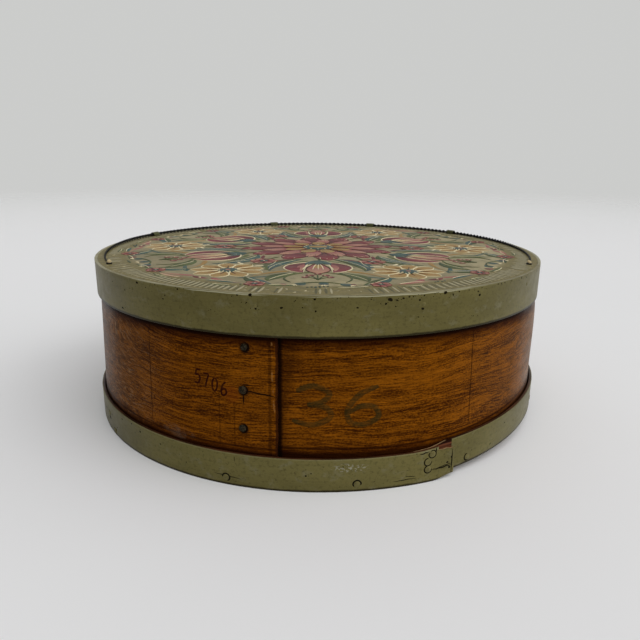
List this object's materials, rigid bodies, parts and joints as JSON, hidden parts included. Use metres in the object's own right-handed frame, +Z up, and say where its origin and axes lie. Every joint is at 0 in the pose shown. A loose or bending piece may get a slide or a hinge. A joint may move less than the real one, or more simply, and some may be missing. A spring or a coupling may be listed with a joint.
{
  "type": "round wooden cheese box",
  "caption": "Low round bentwood cheese box with a lapped and nailed side, painted bands, and a painted lift-off lid edged with twisted wire.",
  "frame": {"origin": "centre of the box's round outline, on the table that the bottom hoop stands on", "axes": "+Z up along the box's axis; -Y is the front, where the side's lap shows; +X is to the right of someone facing that front"},
  "size_m": [0.3826, 0.3826, 0.1324],
  "materials": {
    "varnished_wood": "satin varnish",
    "bare_wood": "bare",
    "painted_band": "satin paint",
    "painted_lid": "satin paint",
    "iron": "dark, rusted",
    "painted_nail": "painted over",
    "black_wire": "black lacquer",
    "painted_tin": "painted over"
  },
  "bodies": {
    "box": {"box_side": "varnished_wood", "bottom_plank_front": "bare_wood", "bottom_plank_middle": "bare_wood", "bottom_plank_back": "bare_wood", "bottom_hoop": "painted_band", "side_lap_nails": "iron", "hoop_lap_nails": "painted_nail", "hoop_tacks": "painted_nail"},
    "lid": {"lid_board": "painted_lid", "lid_hoop": "painted_band", "lid_tacks": "painted_nail", "lid_lap_nails": "painted_nail", "trim_wire": "black_wire", "wire_end_nail_right": "iron", "wire_end_nail_left": "iron", "wire_clip_1": "painted_tin", "wire_clip_2": "painted_tin", "wire_clip_3": "painted_tin", "wire_clip_4": "painted_tin"}
  },
  "joints": [
    {"name": "lid_lift", "type": "slide", "parent": "box", "child": "lid", "axis": [0, 0, 1], "range_m": [0, 0.06]}
  ]
}
